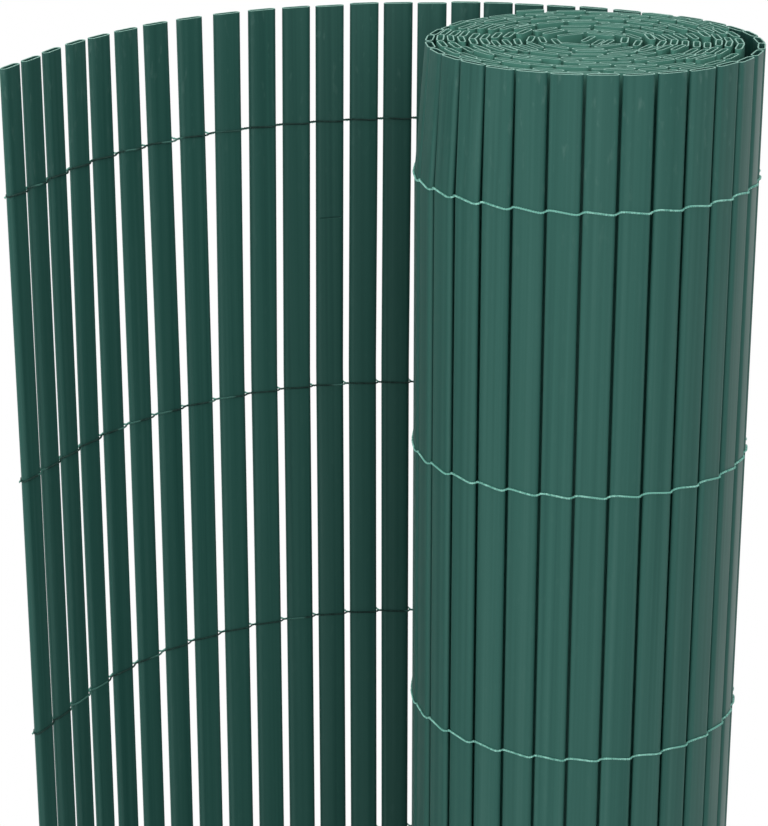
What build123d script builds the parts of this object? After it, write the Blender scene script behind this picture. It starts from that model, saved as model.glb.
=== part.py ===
from build123d import *
import math
import os

# Privacy screen of hollow PVC slats laced side by side, partly unrolled and standing on its slat ends.
# Millimetres. The slats stand along +Z on the floor at Z = 0. Seen from above, the screen winds outwards
# counter-clockwise about the roll's axis: a tight roll up to the left side (-X), a loosened outer turn round the
# front (-Y) and the right (+X), and a free panel that leaves the back of the roll and ends on the left.

# Slat: an extruded tube, a flattened oval cut square at both ends
SLAT_WIDTH = 12.4
SLAT_THICKNESS = 3.2
SLAT_WALL = 0.5
EDGE_CUT = 1.15
SCREEN_HEIGHT = 900.0

# Roll, its radii measured to the middle of a slat's thickness
ROLL_RADIUS = 61.8
LOOSENING = 4.0
CORE_RADIUS = 5.0
FOLDED_SLATS = 2
LAYER_CLEARANCE = 0.65
ROLL_GAP = 0.6

# Free panel
LEAVE_ANGLE = 54.5
PANEL_RADIUS = 160.7
PANEL_BEND = 105.5
FREE_SLATS = 22
CLOSED_GAP = 2.0
OPEN_GAP = 4.86
GAP_SKEW = 2.3

# Lacing: a three-sided strand in each row
LACING_ROWS = 8
END_MARGIN = 52.4
STRAND_WIDTH = 1.0
STRAND_THICKNESS = 0.8
LACE_CLEARANCE = 0.35
WEDGE_SLATS = 2

HALF_WIDTH = SLAT_WIDTH / 2
HALF_THICKNESS = SLAT_THICKNESS / 2
LACE_OFFSET = HALF_THICKNESS + LACE_CLEARANCE
FULL_TURN = 2 * math.pi


class Place:
    """Where a slat stands on the plan: its middle and the heading of its width, in radians."""

    def __init__(self, x, y, heading):
        self.x = x
        self.y = y
        self.heading = heading

    def at(self, along, outwards):
        """A plan point, so far along the slat's width and so far towards the outside of the winding."""
        c, s = math.cos(self.heading), math.sin(self.heading)
        return self.x + along * c + outwards * s, self.y + along * s - outwards * c


def on_roll(radius, angle):
    """A slat that lies along a circle about the roll's axis."""
    return Place(radius * math.cos(angle), radius * math.sin(angle), angle + math.pi / 2)


def step_angle(radius):
    """Angle from one rolled slat to the next, which keeps their inner corners apart."""
    return 2 * math.atan2(HALF_WIDTH + ROLL_GAP / 2, radius - HALF_THICKNESS)


def layer_pitch(radius):
    """How much smaller the roll is one turn further in, where the corners clear this turn's flat faces."""
    corner = radius - HALF_THICKNESS - LAYER_CLEARANCE
    next_face = math.sqrt(max(corner ** 2 - HALF_WIDTH ** 2, 0))
    return radius + HALF_THICKNESS - next_face


def tight_places():
    """Slats of the tight roll from the left side inwards, each with the angle wound back to it."""
    wound = step_angle(ROLL_RADIUS) / 2
    radius = ROLL_RADIUS - layer_pitch(ROLL_RADIUS) * wound / FULL_TURN
    places = []
    while radius > CORE_RADIUS + HALF_THICKNESS:
        places.append((on_roll(radius, math.pi - wound), wound))
        step = step_angle(radius)
        wound += step
        radius -= layer_pitch(radius) * step / FULL_TURN
    # The first slats of the mat are folded flat on each other to start the roll
    innermost, wound = places[-1]
    for k in range(FOLDED_SLATS):
        folded = innermost.at(0, -(k + 1) * (SLAT_THICKNESS + LAYER_CLEARANCE))
        places.append((Place(folded[0], folded[1], innermost.heading), wound))
    return places


def loose_radius(turned):
    """Radius of the outer turn, so far round from the left side: it goes on growing and also sags off the roll."""
    growth = layer_pitch(ROLL_RADIUS) * turned / FULL_TURN
    return ROLL_RADIUS + growth + LOOSENING * (1 - math.cos(turned)) / 2


def loose_places():
    """Slats of the outer turn from the left side to the back, and the angle where the last of them ends."""
    turned = step_angle(ROLL_RADIUS) / 2
    step = 0
    places = []
    while turned < math.pi + math.radians(LEAVE_ANGLE):
        radius = loose_radius(turned)
        places.append(on_roll(radius, math.pi + turned))
        step = step_angle(radius)
        turned += step
    return places, turned - step / 2


def panel_place(run, leave):
    """A slat of the panel, so far along it from where it leaves the roll: on an arc, then on a straight end."""
    start = on_roll(loose_radius(leave), math.pi + leave)
    bend = math.radians(PANEL_BEND)
    arc = min(run / PANEL_RADIUS, bend)
    straight = max(run - bend * PANEL_RADIUS, 0)
    centre = start.at(0, -PANEL_RADIUS)
    heading = start.heading + arc
    on_arc = Place(centre[0], centre[1], heading).at(straight, PANEL_RADIUS)
    return Place(on_arc[0], on_arc[1], heading)


def free_places(leave):
    """Slats of the panel up to the free end: the gaps between them open and close again."""
    run = (SLAT_WIDTH + CLOSED_GAP) / 2
    places = []
    for k in range(FREE_SLATS):
        places.append(panel_place(run, leave))
        opened = math.sin(math.pi * ((k + 1) / (FREE_SLATS + 1)) ** GAP_SKEW) ** 2
        run += SLAT_WIDTH + CLOSED_GAP + (OPEN_GAP - CLOSED_GAP) * opened
    return places


def oblong(width, thickness):
    """The corners of a plain oblong section."""
    a, b = width / 2, thickness / 2
    return [(-a, -b), (a, -b), (a, b), (-a, b)]


def oval(width, thickness, cut):
    """The corners of a flattened oval section, its edges cut back to eight sides."""
    a, b = width / 2, thickness / 2
    return [
        (-a + cut, -b), (a - cut, -b), (a, -b + cut), (a, b - cut),
        (a - cut, b), (-a + cut, b), (-a, b - cut), (-a, -b + cut),
    ]


def tube(outline):
    """One slat standing at the origin: an outline with the bore of the extrusion through it."""
    bore = oblong(SLAT_WIDTH - 2 * SLAT_WALL - EDGE_CUT, SLAT_THICKNESS - 2 * SLAT_WALL)
    section = make_face(Polyline(*outline, close=True)) - make_face(Polyline(*bore, close=True))
    return extrude(section, amount=SCREEN_HEIGHT)


def stand(slat, place):
    """A copy of a slat at its place."""
    return Pos(place.x, place.y, 0) * Rot(0, 0, math.degrees(place.heading)) * slat


def lace_line(laced):
    """One row's line: along the outer faces to the free end, round the last slat and back along the panel."""
    edge = HALF_WIDTH + LACE_CLEARANCE
    last = laced[-1]
    outer = [place.at(-HALF_WIDTH, LACE_OFFSET) for place in laced]
    turn = [last.at(edge, LACE_OFFSET), last.at(edge, -LACE_OFFSET)]
    panel = list(reversed(laced[-FREE_SLATS:]))
    # The hollow side of the panel needs a corner at every second slat only
    inner = [place.at(HALF_WIDTH, -LACE_OFFSET) for place in panel[2::2]]
    return outer + turn + inner


def lace_row(line, height):
    """One row of lacing: the strand swept along its line, flat against the slats."""
    path = Polyline(*[(x, y, height) for x, y in line])
    start = Plane(origin=path @ 0, z_dir=path % 0, x_dir=(0, 0, 1))
    half = STRAND_WIDTH / 2
    section = start * make_face(Polyline((-half, 0), (half, 0), (0, STRAND_THICKNESS), close=True))
    return sweep(section, path=path, transition=Transition.RIGHT)


tight = tight_places()
loose, leave = loose_places()
free = free_places(leave)

# The turns of the roll, counted inwards from where the panel leaves it
turns = [list(reversed(loose))]
for place, wound in tight:
    number = math.floor((leave + wound) / FULL_TURN)
    if number == len(turns):
        turns.append([])
    turns[number].append(place)

# The slats that show their faces have the oval section, those inside the roll the plainer one
show_slat = tube(oval(SLAT_WIDTH, SLAT_THICKNESS, EDGE_CUT))
roll_slat = tube(oblong(SLAT_WIDTH, SLAT_THICKNESS))

pieces = {}
for k, place in enumerate(reversed(free)):
    pieces[f"slat_{k + 1:02d}"] = stand(show_slat, place)

for k, turn in enumerate(turns):
    slat = show_slat if k == 0 else roll_slat
    pieces[f"rolled_turn_{k + 1:02d}"] = Compound([stand(slat, place) for place in turn])

line = lace_line(list(reversed(turns[0][:-WEDGE_SLATS])) + free)
row_step = (SCREEN_HEIGHT - 2 * END_MARGIN) / (LACING_ROWS - 1)
for k in range(LACING_ROWS):
    height = SCREEN_HEIGHT - END_MARGIN - k * row_step
    pieces[f"lacing_row_{k + 1}"] = lace_row(line, height)

# The origin is on the floor, under the middle of the whole screen's box
middle = Compound(list(pieces.values())).bounding_box().center()
to_origin = Pos(-middle.X, -middle.Y, 0)

os.makedirs("parts", exist_ok=True)
for name, piece in pieces.items():
    export_step(to_origin * piece, f"parts/{name}.step")

print("slats in each turn", [len(turn) for turn in turns], "and free", len(free))
print("roll axis at", round(-middle.X, 2), round(-middle.Y, 2))
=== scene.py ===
# %% [markdown]
# # A PVC privacy screen, partly unrolled
# The real object is a mat of hollow plastic slats that thread laces side by side. It stands as it does
# when somebody has begun to unroll it: most of it is still a tight roll, and the free end curves away
# behind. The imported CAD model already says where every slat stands. This lesson gives each slat its
# rounded section, cut ends and plastic skin, makes the twisted thread, and sets up the light and the
# camera.

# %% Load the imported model
import math
import random
from collections import namedtuple

import bpy
from mathutils import Matrix, Vector


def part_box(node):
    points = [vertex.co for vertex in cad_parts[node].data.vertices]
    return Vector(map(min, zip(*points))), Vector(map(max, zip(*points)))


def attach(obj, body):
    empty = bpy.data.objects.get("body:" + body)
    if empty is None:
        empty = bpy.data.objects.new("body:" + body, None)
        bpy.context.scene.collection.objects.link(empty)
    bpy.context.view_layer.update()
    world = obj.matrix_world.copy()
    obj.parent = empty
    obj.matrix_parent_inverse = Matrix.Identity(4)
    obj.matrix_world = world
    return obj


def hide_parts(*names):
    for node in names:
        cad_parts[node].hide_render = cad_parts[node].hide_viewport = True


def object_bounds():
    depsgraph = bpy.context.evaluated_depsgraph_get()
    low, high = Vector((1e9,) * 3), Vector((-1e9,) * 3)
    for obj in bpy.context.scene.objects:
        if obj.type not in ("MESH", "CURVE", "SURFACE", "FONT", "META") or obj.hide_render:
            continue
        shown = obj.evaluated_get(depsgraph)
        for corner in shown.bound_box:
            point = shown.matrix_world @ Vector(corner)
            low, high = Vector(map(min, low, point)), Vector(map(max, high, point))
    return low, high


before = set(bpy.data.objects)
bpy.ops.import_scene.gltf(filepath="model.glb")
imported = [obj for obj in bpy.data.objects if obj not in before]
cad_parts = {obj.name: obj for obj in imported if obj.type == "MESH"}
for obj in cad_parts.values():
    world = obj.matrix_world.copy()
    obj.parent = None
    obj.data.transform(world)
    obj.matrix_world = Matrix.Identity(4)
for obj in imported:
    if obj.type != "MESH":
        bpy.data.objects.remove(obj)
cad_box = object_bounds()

MM = 0.001
SEED = 12
random.seed(SEED)
bpy.context.scene.view_settings.view_transform = "Standard"

free_slats = sorted(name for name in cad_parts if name.startswith("slat_"))
roll_turns = sorted(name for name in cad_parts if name.startswith("rolled_turn_"))
lacing_rows = sorted(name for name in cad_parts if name.startswith("lacing_row_"))
print("free slats", len(free_slats), "turns", len(roll_turns), "lacing rows", len(lacing_rows))

# %% [markdown]
# ## Where the slats stand
# On the real screen every slat is the same tube, so one good model of it can be copied to every place.
# The places could be worked out again with the formula of the winding, but then two files would hold the
# same numbers. Here they are read from the CAD solids: a copy of each node is merged, taken apart into
# its loose solids, and the feet of each solid give the slat's middle and the way its width runs. The
# copies are then thrown away.

# %% Take a CAD node apart
MERGE_DISTANCE = 0.01 * MM


def only(piece):
    """Makes one object the only selected one, and the active one."""
    bpy.ops.object.select_all(action="DESELECT")
    piece.select_set(True)
    bpy.context.view_layer.objects.active = piece


def loose_solids(node):
    """Copies a CAD node, joins up its loose triangles and takes the copy apart into separate solids."""
    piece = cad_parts[node].copy()
    piece.data = piece.data.copy()
    piece.parent = None
    bpy.context.collection.objects.link(piece)
    only(piece)
    bpy.ops.object.mode_set(mode="EDIT")
    bpy.ops.mesh.select_all(action="SELECT")
    bpy.ops.mesh.remove_doubles(threshold=MERGE_DISTANCE)
    bpy.ops.mesh.separate(type="LOOSE")
    bpy.ops.object.mode_set(mode="OBJECT")
    return list(bpy.context.selected_objects)


# %% Read the places from the feet of the solids
FOOT_HEIGHT = 1 * MM
# A turn well inside the roll, which goes evenly round its axis
EVEN_TURN = 4
Place = namedtuple("Place", "middle along outwards")


def read_place(solid, inside):
    """A slat's middle on the floor, the way its width runs, and the side away from a point inside."""
    feet = [v.co.xy for v in solid.data.vertices if v.co.z < FOOT_HEIGHT]
    middle = sum(feet, Vector((0, 0))) / len(feet)
    xx = sum((p.x - middle.x) ** 2 for p in feet)
    yy = sum((p.y - middle.y) ** 2 for p in feet)
    xy = sum((p.x - middle.x) * (p.y - middle.y) for p in feet)
    heading = math.atan2(2 * xy, xx - yy) / 2
    outwards = Vector((math.sin(heading), -math.cos(heading)))
    if outwards.dot(middle - inside) < 0:
        outwards.negate()
    return Place(middle, Vector((-outwards.y, outwards.x)), outwards)


def read_node(node, inside):
    """The places of all the slats in one node."""
    solids = loose_solids(node)
    places = [read_place(solid, inside) for solid in solids]
    for solid in solids:
        bpy.data.meshes.remove(solid.data)
    return places


def box_middle(node):
    """The middle of a node's box, seen from above."""
    low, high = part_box(node)
    return ((low + high) / 2).xy


roll_axis = box_middle(roll_turns[EVEN_TURN])
panel_inside = (roll_axis + box_middle(free_slats[0])) / 2
free_places = [read_node(node, panel_inside)[0] for node in free_slats]
turn_places = {node: read_node(node, roll_axis) for node in roll_turns}
print("roll axis", [round(n / MM, 1) for n in roll_axis], "slats", sum(len(p) for p in turn_places.values()))

# %% [markdown]
# ## The plastic of the slats
# The slats are extruded from dyed PVC. Extrusion leaves fine streaks along the length, batches differ a
# little in tone, and handling leaves pale scuffs near the ends. A picture could be wrapped round each
# slat, but noise needs no picture and never repeats: it is stretched along Z for the streaks, round for
# the clouds, and cut off below the top for the scuffs. The tone of a single slat is an attribute on its
# mesh, because the slats of one turn share an object.

# %% Helpers for nodes
# A Mix node has sockets of one name for several kinds of data, so those of the colours are taken by number
MIX_FACTOR, MIX_A, MIX_B, MIX_RESULT = 0, 6, 7, 2


def node_tools(tree):
    """Short ways to add nodes to a tree and to join them."""
    def add(kind, **settings):
        made = tree.nodes.new(kind)
        for key, value in settings.items():
            setattr(made, key, value)
        return made

    def join(source, socket):
        tree.links.new(source, socket)

    return add, join


def new_material(name):
    """A node material with its Principled shader, and short ways to add and join its nodes."""
    material = bpy.data.materials.new(name)
    material.use_nodes = True
    shader = material.node_tree.nodes["Principled BSDF"]
    return material, shader, *node_tools(material.node_tree)


def noise_on_object(add, join, scale, detail):
    """Noise over Object coordinates, with its own scale for each direction."""
    place = add("ShaderNodeTexCoord")
    mapping = add("ShaderNodeMapping")
    mapping.inputs["Scale"].default_value = scale
    noise = add("ShaderNodeTexNoise")
    noise.inputs["Scale"].default_value = 1.0
    noise.inputs["Detail"].default_value = detail
    join(place.outputs["Object"], mapping.inputs["Vector"])
    join(mapping.outputs["Vector"], noise.inputs["Vector"])
    return noise.outputs["Fac"]


def ramp_between(add, join, source, stops):
    """A colour ramp with the given stops of position and colour."""
    ramp = add("ShaderNodeValToRGB")
    ramp.color_ramp.elements[0].position, ramp.color_ramp.elements[0].color = stops[0]
    ramp.color_ramp.elements[1].position, ramp.color_ramp.elements[1].color = stops[-1]
    for position, color in stops[1:-1]:
        ramp.color_ramp.elements.new(position).color = color
    join(source, ramp.inputs["Fac"])
    return ramp.outputs["Color"]


def map_range(add, join, source, start, end, low=0.0, high=1.0):
    """A value that goes from low to high while its source goes from start to end, and no further."""
    mapped = add("ShaderNodeMapRange")
    mapped.inputs["From Min"].default_value = start
    mapped.inputs["From Max"].default_value = end
    mapped.inputs["To Min"].default_value = low
    mapped.inputs["To Max"].default_value = high
    join(source, mapped.inputs["Value"])
    return mapped.outputs["Result"]


def combine(add, join, operation, a, b):
    """Two values put together by a Math node."""
    combined = add("ShaderNodeMath", operation=operation)
    join(a, combined.inputs[0])
    join(b, combined.inputs[1])
    return combined.outputs["Value"]


def mix_color(add, join, blend, factor, a, b):
    """Two colours mixed: factor, a and b are sockets or constants."""
    mix = add("ShaderNodeMix", data_type="RGBA", blend_type=blend)
    for number, value in ((MIX_FACTOR, factor), (MIX_A, a), (MIX_B, b)):
        if isinstance(value, bpy.types.NodeSocket):
            join(value, mix.inputs[number])
        else:
            mix.inputs[number].default_value = value
    return mix.outputs[MIX_RESULT]


# %% Dyed plastic with streaks
GREEN_DARK = (0.018, 0.083, 0.068, 1)
GREEN_MAIN = (0.027, 0.106, 0.087, 1)
GREEN_LIGHT = (0.040, 0.128, 0.107, 1)
DARKEST_TONE = (0.92, 0.92, 0.92, 1)
# Only the painted light on the outer faces reaches the upper part of this range
PALEST_TONE = (1.36, 1.34, 1.34, 1)

pvc, shader, add, join = new_material("green_pvc")
streaks = noise_on_object(add, join, scale=(420, 420, 2.5), detail=5)
colour = ramp_between(add, join, streaks, [(0.25, GREEN_DARK), (0.5, GREEN_MAIN), (0.78, GREEN_LIGHT)])
# The attribute holds each slat's random tone and, on its outer faces, painted light
tone = add("ShaderNodeAttribute", attribute_name="slat_tone")
shade = ramp_between(add, join, tone.outputs["Fac"], [(0.0, DARKEST_TONE), (1.0, PALEST_TONE)])
colour = mix_color(add, join, "MULTIPLY", 1.0, colour, shade)
print("streaks and tone", len(pvc.node_tree.nodes), "nodes")

# %% Scuffs near the top, and painted light on the ends inside the roll
SCREEN_TOP = cad_box[1][2]
BLACK = (0, 0, 0, 1)
WHITE = (1, 1, 1, 1)
SCUFF = (0.20, 0.34, 0.30, 1)
SCUFFED_LENGTH = 75 * MM
FEW_SCUFFS, MANY_SCUFFS = 0.04, 0.24
# Painted light on the last centimetre of the slats inside the roll
PAINTED_LIGHT_IN_ROLL = (0.10, 0.30, 0.235, 1)
PALE_LENGTH = 14 * MM
PALEST_LENGTH = 2 * MM

scuff_noise = noise_on_object(add, join, scale=(420, 420, 120), detail=5)
scuffs = ramp_between(add, join, scuff_noise, [(0.60, BLACK), (0.76, WHITE)])
place = add("ShaderNodeSeparateXYZ")
join(add("ShaderNodeTexCoord").outputs["Object"], place.inputs["Vector"])
height = place.outputs["Z"]
near_end = map_range(add, join, height, SCREEN_TOP - SCUFFED_LENGTH, SCREEN_TOP, FEW_SCUFFS, MANY_SCUFFS)
scuffing = mix_color(add, join, "MULTIPLY", 1.0, scuffs, near_end)
colour = mix_color(add, join, "MIX", scuffing, colour, SCUFF)

# Painted light: inside the roll the thin walls let light down from the cut, painted as a paler last
# centimetre
last_bit = map_range(add, join, height, SCREEN_TOP - PALE_LENGTH, SCREEN_TOP - PALEST_LENGTH)
rolled = add("ShaderNodeAttribute", attribute_name="in_roll")
paler = combine(add, join, "MULTIPLY", rolled.outputs["Fac"], last_bit)
join(mix_color(add, join, "MIX", paler, colour, PAINTED_LIGHT_IN_ROLL), shader.inputs["Base Color"])
print("scuffs over", SCUFFED_LENGTH / MM, "mm")

# %% Uneven gloss and fine grain
SMOOTHEST, ROUGHEST = 0.34, 0.56

clouds = noise_on_object(add, join, scale=(45, 45, 18), detail=3)
join(map_range(add, join, clouds, 0.0, 1.0, SMOOTHEST, ROUGHEST), shader.inputs["Roughness"])
shader.inputs["Specular IOR Level"].default_value = 0.20
grain = add("ShaderNodeBump")
grain.inputs["Strength"].default_value = 0.12
grain.inputs["Distance"].default_value = 0.2 * MM
join(streaks, grain.inputs["Height"])
join(grain.outputs["Normal"], shader.inputs["Normal"])
print("material", pvc.name, "nodes", len(pvc.node_tree.nodes))

# %% [markdown]
# ## The cut ends
# A saw or a guillotine cuts the tubes to length, and the fresh cut is paler and rougher than the skin. It
# could be a band of the skin's own material, but a material of its own on the end faces is sharper: each
# tube shows as a light ring round a dark bore when one looks at the roll's top.

# %% Pale cut edge
CUT_DARK = (0.25, 0.50, 0.42, 1)
CUT_LIGHT = (0.42, 0.70, 0.60, 1)

cut_edge, shader, add, join = new_material("cut_edge_pvc")
saw = noise_on_object(add, join, scale=(900, 900, 300), detail=3)
join(ramp_between(add, join, saw, [(0.3, CUT_DARK), (0.7, CUT_LIGHT)]), shader.inputs["Base Color"])
shader.inputs["Roughness"].default_value = 0.62
shader.inputs["Specular IOR Level"].default_value = 0.3
print("material", cut_edge.name)

# %% [markdown]
# ## One slat
# A slat is a flattened oval tube with a wall of about half a millimetre. It could be a curve with a
# bevel, but a drawn section is closer to how the tube is made. A plane is scaled so that the taper of the
# edge is one unit both ways, its corners are bevelled round by that unit, and scaling it to the real
# width and thickness turns the round corners into the long ones of an oval. An inset makes the wall, the
# middle is deleted to open the bore, and one extrude draws the tube. Cuts across the upper part let the
# ends of single slats sway later. The slats that show their faces get rounder edges and a broken rim.
# Those inside the roll show only their ends and get few faces, because there are so many.

# %% Draw the tube
SLAT_WIDTH = 12.4 * MM
SLAT_THICKNESS = 3.2 * MM
SLAT_WALL = 0.55 * MM
EDGE_TAPER = 2.2 * MM
EDGE_DROP = 1.5 * MM


def slat_tube(name, rounding_steps, cuts):
    """A slat at the origin, with so many steps in its rounded edges and cuts at the given heights."""
    bpy.ops.object.select_all(action="DESELECT")
    bpy.ops.mesh.primitive_plane_add(size=1)
    slat = bpy.context.object
    slat.name = name
    bpy.ops.object.mode_set(mode="EDIT")
    bpy.ops.mesh.select_all(action="SELECT")
    bpy.ops.transform.resize(value=(SLAT_WIDTH / EDGE_TAPER, SLAT_THICKNESS / EDGE_DROP, 1))
    bpy.ops.mesh.bevel(offset=1, offset_type="OFFSET", segments=rounding_steps, affect="VERTICES")
    bpy.ops.mesh.select_all(action="SELECT")
    bpy.ops.transform.resize(value=(EDGE_TAPER, EDGE_DROP, 1))
    bpy.ops.mesh.inset(thickness=SLAT_WALL)
    bpy.ops.mesh.delete(type="FACE")
    bpy.ops.mesh.select_all(action="SELECT")
    bpy.ops.mesh.extrude_region_move(TRANSFORM_OT_translate={"value": (0, 0, SCREEN_TOP)})
    for z in cuts:
        bpy.ops.mesh.select_all(action="SELECT")
        bpy.ops.mesh.bisect(plane_co=(0, 0, z), plane_no=(0, 0, 1))
    bpy.ops.mesh.select_all(action="SELECT")
    bpy.ops.mesh.normals_make_consistent(inside=False)
    bpy.ops.object.mode_set(mode="OBJECT")
    slat.data.materials.append(pvc)
    slat.data.materials.append(cut_edge)
    return slat


# %% Finish the slats
RIM_BREAK = 0.12 * MM
RIM_ANGLE = math.radians(60)
SMOOTH_ANGLE = math.radians(38)
END_DEPTH = 1 * MM
MOSTLY_UPRIGHT = 0.5
PVC_FACE, CUT_FACE = 0, 1
SHOW_STEPS = 4
INNER_STEPS = 3
SWAY_LENGTH = 160 * MM
LEAN_LENGTH = 52.8 * MM


def break_rim(slat):
    """Breaks the sharp edges that the saw left at both ends."""
    only(slat)
    bpy.ops.object.modifier_add(type="BEVEL")
    rim = slat.modifiers[-1]
    rim.width = RIM_BREAK
    rim.segments = 1
    rim.limit_method = "ANGLE"
    rim.angle_limit = RIM_ANGLE
    bpy.ops.object.modifier_apply(modifier=rim.name)


def mark_ends(slat):
    """Gives the end faces the material of the cut, and smooths the rounded edges."""
    for face in slat.data.polygons:
        at_end = min(face.center.z, SCREEN_TOP - face.center.z) < END_DEPTH
        is_cut = at_end and abs(face.normal.z) > MOSTLY_UPRIGHT
        face.material_index = CUT_FACE if is_cut else PVC_FACE
    only(slat)
    bpy.ops.object.shade_smooth_by_angle(angle=SMOOTH_ANGLE)


sway_cuts = [SCREEN_TOP - SWAY_LENGTH, SCREEN_TOP - 2 * LEAN_LENGTH, SCREEN_TOP - LEAN_LENGTH]
show_slat = slat_tube("show_slat", SHOW_STEPS, sway_cuts)
break_rim(show_slat)
mark_ends(show_slat)

inner_slat = slat_tube("inner_slat", INNER_STEPS, [])
mark_ends(inner_slat)
print("faces of a show slat", len(show_slat.data.polygons), "of an inner slat", len(inner_slat.data.polygons))

# %% [markdown]
# ## One slat with a crease
# One of the free slats has been bent at some time and keeps a fine line across its inner face. A dark
# line in the material would do from far off, but a real dent catches the light from every side. Three
# more cuts are made close together, the middle one is pushed in, and its edges are kept sharp.

# %% Dent a slat
CREASE_HEIGHT = 808 * MM
CREASE_HALF = 0.4 * MM
CREASE_DEPTH = 0.45 * MM
FACE_DEPTH = 0.1 * MM
ROUNDING_ROOM = 1.1

crease_cuts = [CREASE_HEIGHT + CREASE_HALF * side for side in (-1, 0, 1)]
creased_slat = slat_tube("creased_slat", SHOW_STEPS, crease_cuts + sway_cuts)
break_rim(creased_slat)
for v in creased_slat.data.vertices:
    on_inner_face = v.co.y > SLAT_THICKNESS / 2 - FACE_DEPTH
    if on_inner_face and abs(v.co.z - CREASE_HEIGHT) < CREASE_HALF / 2:
        v.co.y -= CREASE_DEPTH
mark_ends(creased_slat)
for edge in creased_slat.data.edges:
    ends = [creased_slat.data.vertices[n].co.z for n in edge.vertices]
    if max(abs(z - CREASE_HEIGHT) for z in ends) < ROUNDING_ROOM * CREASE_HALF:
        edge.use_edge_sharp = True
print("crease at", CREASE_HEIGHT / MM, "mm")

# %% [markdown]
# ## Copies at their places
# Real slats are never quite alike: saw lengths differ by a hair, some are darker, and the free ends sway
# where the lacing has slipped, so that one gap is wide and the next nearly closed. Linked copies would all
# be the same, so each copy gets its own mesh, its own tone, and a little of that unevenness before it is
# turned and moved to its place. Its outer side is also painted paler than its inner side: painted light,
# for the light that falls on the outside of the roll and not into the panel's hollow.

# %% Copy a slat to its place
TONE_SPREAD = 0.3
# Painted light: how much paler the outer faces are painted, for the light that the panel's hollow misses
PAINTED_LIGHT_OUTSIDE = 0.55


def stand_copy(model, place, name, sway=0.0, lean=0.0, trim=0.0, thin=1.0, bow=0.0, twist=0.0):
    """A copy of a slat at its place: its top swayed along the row, leaned inwards and trimmed, its tube
    pressed thin and bowed, and its width turned."""
    copy = model.copy()
    copy.data = model.data.copy()
    copy.name = name
    bpy.context.collection.objects.link(copy)
    tone = TONE_SPREAD * random.random()
    # A random tone, with painted light added on the outer faces
    tones = [tone + (PAINTED_LIGHT_OUTSIDE if v.co.y < 0 else 0.0) for v in copy.data.vertices]
    for v in copy.data.vertices:
        v.co.x += sway * max(v.co.z - SCREEN_TOP + SWAY_LENGTH, 0) / SWAY_LENGTH
        v.co.y *= thin
        v.co.y -= bow * (1 - (2 * v.co.x / SLAT_WIDTH) ** 2)
        v.co.y += lean * max(v.co.z - SCREEN_TOP + LEAN_LENGTH, 0) / LEAN_LENGTH
        v.co.z -= trim * (v.co.z / SCREEN_TOP)
    heading = math.atan2(place.along.y, place.along.x) + twist
    turn = Matrix.Rotation(heading, 4, "Z")
    copy.data.transform(Matrix.Translation(place.middle.to_3d()) @ turn)
    in_roll = 1.0 if model == inner_slat else 0.0
    for attribute, numbers in (("slat_tone", tones), ("in_roll", [in_roll] * len(tones))):
        values = copy.data.attributes.new(attribute, "FLOAT", "POINT")
        values.data.foreach_set("value", numbers)
    return copy


def dress(piece, node):
    """Attaches a piece to the root body, which it moves with, and hides the CAD node that it stands for."""
    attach(piece, "root")
    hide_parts(node)


# %% Stand up the free slats
# How far the tops of single slats sway towards the roll, or with a minus towards the free end, in millimetres
TOP_SWAY = {
    1: -0.6, 4: 1.5, 6: -0.8, 7: -1.5, 8: -0.8, 9: 1.1, 10: 1.6, 11: 1.6, 12: 1.2, 13: 1.3, 14: 1.1, 15: 0.9,
    16: 0.7, 18: -1.2, 19: -1.8, 20: -2.0, 21: -1.4, 22: -0.7,
}
CREASED_NUMBER = 12
TOP_UNEVEN = 0.5 * MM

for number, (node, place) in enumerate(zip(free_slats, free_places), start=1):
    sway = -TOP_SWAY.get(number, 0.0) * MM
    model = creased_slat if number == CREASED_NUMBER else show_slat
    slat = stand_copy(model, place, f"{node}_tube", sway=sway, trim=random.uniform(0, TOP_UNEVEN))
    dress(slat, node)
print("free slats stand", len(free_slats))

# %% [markdown]
# ## The roll
# The outer turn of the roll is loose: it stands off the roll on the left, and only the tops of its slats
# lean back against it. The turns inside are pressed together, which makes their tubes thinner, bowed and
# a little askew, and they have slid, so that their tops are uneven and higher at the back. The whole roll
# could be bent by a modifier, but the slats would bend too, and they stay straight. So each slat is
# placed by itself, and those of one turn are then joined, as they are one node in the CAD model.

# %% Where a slat of the roll differs from the CAD place
LEFT_BULGE = 4.0 * MM
ROLL_UNEVEN = 1.7 * MM
ROLL_LEAN = 2.6 * MM
ROLL_REACH = 60 * MM
THINNEST = 0.84
BOW = 0.3 * MM
TWIST = math.radians(1.6)


def bulge(place):
    """How far the outer turn stands off the roll at a slat: most on the left, and not at all at the front."""
    return LEFT_BULGE * max(-place.outwards.x, 0) ** 2


def loosened(place):
    """A place on the outer turn, moved off the roll where that turn is loose."""
    return place._replace(middle=place.middle + place.outwards * bulge(place))


def outer_turn_slat(place, name):
    """A slat of the loose outer turn."""
    trim = random.uniform(0, TOP_UNEVEN)
    return stand_copy(show_slat, loosened(place), name, lean=bulge(place), trim=trim)


def inner_turn_slat(place, name):
    """A slat of the turns inside, whose tops stand higher at the back than at the front."""
    to_the_back = (place.middle.y - roll_axis.y) / ROLL_REACH
    rise = ROLL_LEAN * (1 + to_the_back) / 2
    trim = random.uniform(0, ROLL_UNEVEN) - rise
    thin = random.uniform(THINNEST, 1.0)
    bow = random.uniform(-BOW, BOW)
    twist = random.uniform(-TWIST, TWIST)
    return stand_copy(inner_slat, place, name, trim=trim, thin=thin, bow=bow, twist=twist)


# %% Wind up the roll
def join_pieces(pieces, name):
    """Joins several objects into one."""
    bpy.ops.object.select_all(action="DESELECT")
    for piece in pieces:
        piece.select_set(True)
    bpy.context.view_layer.objects.active = pieces[0]
    bpy.ops.object.join()
    pieces[0].name = name
    return pieces[0]


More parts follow.
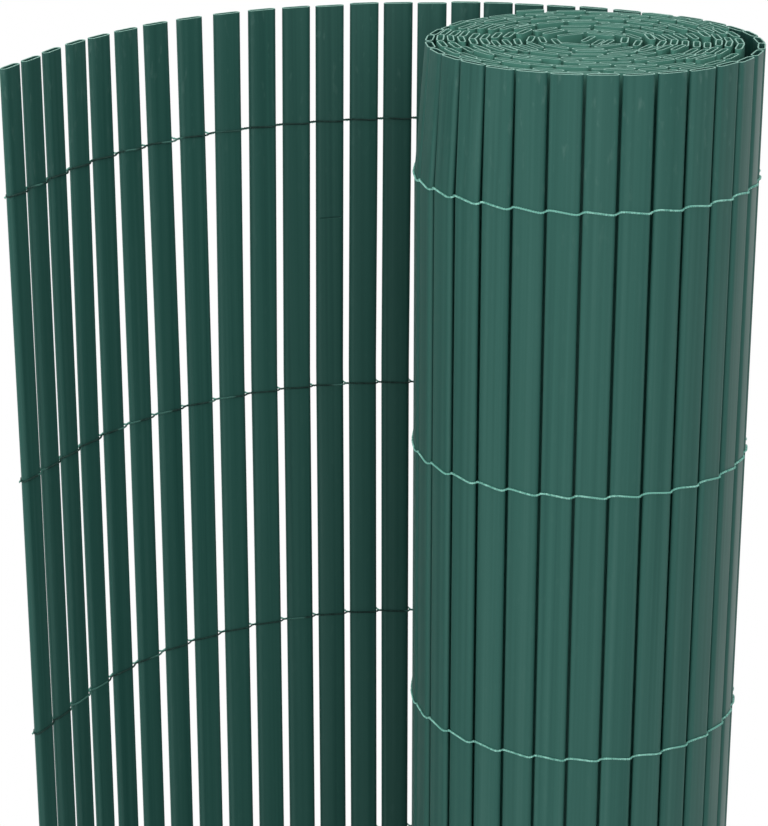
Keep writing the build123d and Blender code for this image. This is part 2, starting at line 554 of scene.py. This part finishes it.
for node, places in turn_places.items():
    stand_slat = outer_turn_slat if node == roll_turns[0] else inner_turn_slat
    slats = [stand_slat(place, f"{node}_slat_{k}") for k, place in enumerate(places)]
    dress(join_pieces(slats, f"{node}_tubes"), node)
for model in (show_slat, inner_slat, creased_slat):
    bpy.data.meshes.remove(model.data)
print("turns wound", len(turn_places))

# %% [markdown]
# ## The thread's finish
# The rows are sewn with two threads of matt green fibre, a pale one on the outer faces and a dark one on
# the inner faces. Dye takes unevenly on such thread, so fine noise changes the tone from fibre to fibre,
# and wide noise changes it over a stitch or so. One function makes both materials.

# %% Thread materials
Tones = namedtuple("Tones", "dark light patch")
PALE_TONES = Tones((0.13, 0.42, 0.34, 1), (0.42, 0.84, 0.72, 1), (0.24, 0.60, 0.50, 1))
DARK_TONES = Tones((0.008, 0.030, 0.025, 1), (0.022, 0.066, 0.054, 1), (0.07, 0.20, 0.165, 1))


def thread_material(name, tones):
    """Matt fibre with a fine change of tone, and with patches of another tone a stitch or so long."""
    material, shader, add, join = new_material(name)
    fibre = noise_on_object(add, join, scale=(800, 800, 800), detail=3)
    colour = ramp_between(add, join, fibre, [(0.36, tones.dark), (0.62, tones.light)])
    where = noise_on_object(add, join, scale=(60, 60, 60), detail=0)
    patches = ramp_between(add, join, where, [(0.56, BLACK), (0.62, WHITE)])
    join(mix_color(add, join, "MIX", patches, colour, tones.patch), shader.inputs["Base Color"])
    shader.inputs["Roughness"].default_value = 0.7
    shader.inputs["Specular IOR Level"].default_value = 0.25
    return material


pale_thread = thread_material("pale_green_thread", PALE_TONES)
dark_thread = thread_material("dark_green_thread", DARK_TONES)
print("materials", pale_thread.name, dark_thread.name)

# %% [markdown]
# ## The way of the thread
# The pale thread crosses the outer faces of the roll and the panel, and the dark one turns round the last
# slat and comes back over the inner faces. They hook into each other in every gap. A plain line at one
# height would look ruled, so each stitch has its slope, the thread dips between the slats, and the upper
# rows have crept up or down along the panel.

# %% Points of a stitch
PALE_THREAD = 0.95 * MM
DARK_THREAD = 0.9 * MM
OUTER_SLOPE = 0.85 * MM
INNER_SLOPE = -0.45 * MM
STITCH_REACH = 0.46
# How far the middle of a thread stands off a slat's face, as a share of its thickness
THREAD_SEAT = 0.38


def point(place, along, outwards, z):
    """A point beside a slat: so far along its width, so far out from its middle, at a height."""
    xy = place.middle + place.along * along + place.outwards * outwards
    return Vector((xy.x, xy.y, z))


def stitch(place, side, thread, z):
    """Three points that carry a thread over a slat's face, on the outer side (1) or the inner side (-1)."""
    off = side * (SLAT_THICKNESS / 2 + THREAD_SEAT * thread)
    slope = OUTER_SLOPE if side > 0 else INNER_SLOPE
    reach = STITCH_REACH * SLAT_WIDTH
    return [
        point(place, -reach, off, z + slope),
        point(place, 0, off, z),
        point(place, reach, off, z - slope),
    ]


def dip(one, other, outwards, z):
    """The point between two neighbours where a thread goes down into the gap."""
    a = point(one, SLAT_WIDTH / 2, outwards, z)
    b = point(other, -SLAT_WIDTH / 2, outwards, z)
    return (a + b) / 2


# %% Where the rows go and how far they have crept
HIDDEN_SLATS = 2
# How far a row has crept up at the free end and beside the roll, in millimetres
ROW_CREEP = {"lacing_row_1": (3.3, 2.5), "lacing_row_2": (1.9, -4.0), "lacing_row_3": (5.5, -1.5)}
CREEP_SLATS = 15


def wound_back(place):
    """How far round the roll a slat lies, back from where the panel leaves it."""
    last = free_places[-1].middle - roll_axis
    here = place.middle - roll_axis
    return (math.atan2(last.y, last.x) - math.atan2(here.y, here.x)) % (2 * math.pi)


def creep(number, node):
    """How far a row has crept up on a free slat, by its number: it fades out where the roll hides it."""
    at_end, at_roll = ROW_CREEP.get(node, (0.0, 0.0))
    if number <= CREEP_SLATS:
        return MM * (at_end + (at_roll - at_end) * (number - 1) / (CREEP_SLATS - 1))
    return MM * at_roll * (len(free_slats) - number) / (len(free_slats) - CREEP_SLATS)


outer_turn = sorted(turn_places[roll_turns[0]], key=wound_back, reverse=True)
laced_turn = [loosened(place) for place in outer_turn[HIDDEN_SLATS:]]
print("slats that the rows cross", len(laced_turn) + len(free_places))

# %% Lines of a row's two threads
HOOK = 0.05 * SLAT_THICKNESS


def row_lines(node):
    """The points of a row's pale thread over the outer faces, and of its dark one round the end and back."""
    low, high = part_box(node)
    level = (low.z + high.z) / 2
    panel = [(place, level + creep(number, node)) for number, place in enumerate(free_places, start=1)]
    chain = [(place, level) for place in laced_turn] + panel[::-1]
    last, end_z = panel[0]

    outer_line = []
    for (one, one_z), (other, other_z) in zip(chain, chain[1:]):
        outer_line += stitch(one, 1, PALE_THREAD, one_z)
        outer_line.append(dip(one, other, HOOK, (one_z + other_z - OUTER_SLOPE) / 2))
    outer_line += stitch(last, 1, PALE_THREAD, end_z)

    # The dark thread starts outside, on the last slat, and turns round its edge
    edge = SLAT_WIDTH / 2 + DARK_THREAD / 2
    inner_line = [point(last, SLAT_WIDTH / 4, SLAT_THICKNESS / 2 + DARK_THREAD, end_z)]
    inner_line += [point(last, edge, side * SLAT_THICKNESS / 4, end_z) for side in (1, -1)]
    inner_line += reversed(stitch(last, -1, DARK_THREAD, end_z))
    for (other, other_z), (one, one_z) in zip(panel, panel[1:]):
        inner_line.append(dip(one, other, -HOOK, (one_z + other_z) / 2))
        inner_line += reversed(stitch(one, -1, DARK_THREAD, one_z))
    return outer_line, inner_line


# %% [markdown]
# ## The twist of the thread
# Each thread is two plies twisted together. A curve with a round bevel would look like wire, so the twist
# is real: two small circles are screwed along Z into a straight twisted length, and a Curve modifier lays
# it along the row.

# %% A smooth line through the stitches
def smooth_line(name, points):
    """A smooth curve that passes close to the points."""
    curve = bpy.data.curves.new(name, "CURVE")
    curve.dimensions = "3D"
    curve.use_path = True
    curve.use_stretch = True
    curve.use_deform_bounds = True
    spline = curve.splines.new("NURBS")
    spline.points.add(len(points) - 1)
    for spot, place in zip(spline.points, points):
        spot.co = (*place, 1)
    spline.order_u = 3
    spline.use_endpoint_u = True
    spline.resolution_u = 4
    line = bpy.data.objects.new(name, curve)
    bpy.context.collection.objects.link(line)
    return line


# %% Twist the threads and lay them along their lines
# The plies and the length of one twist, as shares of the thread's thickness
PLY_RADIUS = 0.29
PLY_OFFSET = 0.24
TWIST_LENGTH = 2.1
PLY_SIDES = 4
TWIST_STEPS = 6


def straight_thread(name, thickness, length):
    """Two plies screwed along Z for a length."""
    bpy.ops.object.select_all(action="DESELECT")
    plies = []
    for side in (-1, 1):
        middle = (side * thickness * PLY_OFFSET, 0, 0)
        bpy.ops.mesh.primitive_circle_add(vertices=PLY_SIDES, radius=thickness * PLY_RADIUS, location=middle)
        bpy.ops.object.transform_apply(location=True)
        plies.append(bpy.context.object)
    thread = join_pieces(plies, name)
    only(thread)
    bpy.ops.object.modifier_add(type="SCREW")
    twist = thread.modifiers[-1]
    twist.axis = "Z"
    twist.screw_offset = thickness * TWIST_LENGTH
    twist.iterations = round(length / (thickness * TWIST_LENGTH))
    twist.steps = TWIST_STEPS
    twist.render_steps = TWIST_STEPS
    bpy.ops.object.modifier_apply(modifier=twist.name)
    return thread


def laid_thread(name, thickness, points, material):
    """A twisted thread that follows the points."""
    line = smooth_line(f"{name}_line", points)
    length = line.data.splines[0].calc_length()
    thread = straight_thread(name, thickness, length)
    bpy.ops.object.modifier_add(type="CURVE")
    follow = thread.modifiers[-1]
    follow.object = line
    follow.deform_axis = "POS_Z"
    bpy.ops.object.modifier_apply(modifier=follow.name)
    bpy.ops.object.mode_set(mode="EDIT")
    bpy.ops.mesh.select_all(action="SELECT")
    bpy.ops.mesh.normals_make_consistent(inside=False)
    bpy.ops.mesh.faces_shade_smooth()
    bpy.ops.object.mode_set(mode="OBJECT")
    thread.data.materials.append(material)
    bpy.data.curves.remove(line.data)
    print(name, "length in mm", round(length / MM), "faces", len(thread.data.polygons))
    return thread


for node in lacing_rows:
    outer_line, inner_line = row_lines(node)
    outer_thread = laid_thread("outer_thread", PALE_THREAD, outer_line, pale_thread)
    inner_thread = laid_thread("inner_thread", DARK_THREAD, inner_line, dark_thread)
    dress(join_pieces([outer_thread, inner_thread], f"{node}_thread"), node)
print("lacing rows", len(lacing_rows))

# %% [markdown]
# ## Floor and light
# The screen was photographed on white, with soft light mostly from the front. More comes from far to the
# left, which the panel keeps off its own hollow side, and a little from above. A white background could
# be had with more light, but that would bleach the slats. Instead the world is pure white only where it
# is seen, by the camera or in a reflection, and otherwise gives a weak fill. The floor is a pale plane
# that keeps a soft shadow near the object and turns to pure white further off in the same way.

# %% What is seen as background
def background_rays(add, join):
    """1 for the rays that show a background: to the camera, in a reflection or through something clear."""
    ray = add("ShaderNodeLightPath")
    seen = ray.outputs["Is Camera Ray"]
    for kind in ("Is Glossy Ray", "Is Transmission Ray"):
        seen = combine(add, join, "MAXIMUM", seen, ray.outputs[kind])
    return seen


def pick_shader(add, join, factor, first, second, output):
    """Shows the first shader where the factor is 0 and the second where it is 1."""
    pick = add("ShaderNodeMixShader")
    join(factor, pick.inputs["Fac"])
    join(first, pick.inputs[1])
    join(second, pick.inputs[2])
    join(pick.outputs["Shader"], output.inputs["Surface"])


# %% White floor
FLOOR_SIZE = 30.0
FLOOR_PAINT = (0.86, 0.86, 0.86, 1)
SHADOW_REACH = 0.2
ALL_WHITE = 0.9
WHITE_IN_SHADOW = 0.45

bpy.ops.object.select_all(action="DESELECT")
bpy.ops.mesh.primitive_plane_add(size=FLOOR_SIZE)
floor = bpy.context.object
floor.name = "floor"
paint, shader, add, join = new_material("white_floor")
shader.inputs["Base Color"].default_value = FLOOR_PAINT
shader.inputs["Roughness"].default_value = 0.9
shader.inputs["Specular IOR Level"].default_value = 0.1
away = add("ShaderNodeVectorMath", operation="LENGTH")
join(add("ShaderNodeTexCoord").outputs["Object"], away.inputs[0])
fade = map_range(add, join, away.outputs["Value"], SHADOW_REACH, ALL_WHITE, low=WHITE_IN_SHADOW)
amount = combine(add, join, "MULTIPLY", background_rays(add, join), fade)
white = add("ShaderNodeEmission")
white.inputs["Strength"].default_value = 1.0
output = paint.node_tree.nodes["Material Output"]
pick_shader(add, join, amount, shader.outputs["BSDF"], white.outputs["Emission"], output)
floor.data.materials.append(paint)
print("floor", FLOOR_SIZE, "m")

# %% White world
WORLD_LIGHT = 0.22

world = bpy.data.worlds.new("white_studio")
bpy.context.scene.world = world
world.use_nodes = True
add, join = node_tools(world.node_tree)
fill = world.node_tree.nodes["Background"]
fill.inputs["Color"].default_value = WHITE
fill.inputs["Strength"].default_value = WORLD_LIGHT
backdrop = add("ShaderNodeBackground")
backdrop.inputs["Color"].default_value = WHITE
backdrop.inputs["Strength"].default_value = 1.0
seen = background_rays(add, join)
output = world.node_tree.nodes["World Output"]
pick_shader(add, join, seen, fill.outputs["Background"], backdrop.outputs["Background"], output)
print("world", world.name, "fill", WORLD_LIGHT)

# %% Soft lights
LIT_HEIGHT = 0.65
Lamp = namedtuple("Lamp", "name place size watts")
LAMPS = [
    Lamp("front_light", place=(0.10, -1.5, 1.5), size=1.8, watts=16.5),
    Lamp("left_light", place=(-1.7, -0.7, 1.4), size=1.2, watts=8.5),
    Lamp("top_light", place=(0.10, 0.15, 2.1), size=1.2, watts=6.0),
]

upper_part = Vector((roll_axis.x, roll_axis.y, LIT_HEIGHT))
for lamp in LAMPS:
    bpy.ops.object.light_add(type="AREA", location=lamp.place)
    light = bpy.context.object
    light.name = lamp.name
    light.data.size = lamp.size
    light.data.energy = lamp.watts
    light.rotation_euler = (upper_part - light.location).to_track_quat("-Z", "Y").to_euler()
    print("light", lamp.name, lamp.watts, "W")

# %% [markdown]
# ## The camera
# The photo looks down on the roll from a little above its top and cuts the screen off below the third
# row. Its lens was found from the seams between the slats and the heights of the lacing rows: a long lens
# about a metre away, tipped down by a little over nineteen degrees.

# %% Camera at the photo's place
PHOTO_WIDTH = 768
FOCAL_PIXELS = 2497
SENSOR_WIDTH = 36
CAMERA_PLACE = Vector((-2.8, -981.8, 1086)) * MM
CAMERA_DOWN = 19.33
FARTHEST_SEEN = 100

bpy.ops.object.camera_add()
camera = bpy.context.object
camera.name = "photo_camera"
camera.location = CAMERA_PLACE
camera.rotation_euler = (math.radians(90 - CAMERA_DOWN), 0, 0)
camera.data.sensor_fit = "HORIZONTAL"
camera.data.sensor_width = SENSOR_WIDTH
camera.data.lens = FOCAL_PIXELS / PHOTO_WIDTH * SENSOR_WIDTH
camera.data.clip_end = FARTHEST_SEEN
bpy.context.scene.camera = camera
print("lens", round(camera.data.lens, 1), "mm at", [round(n, 3) for n in camera.location])
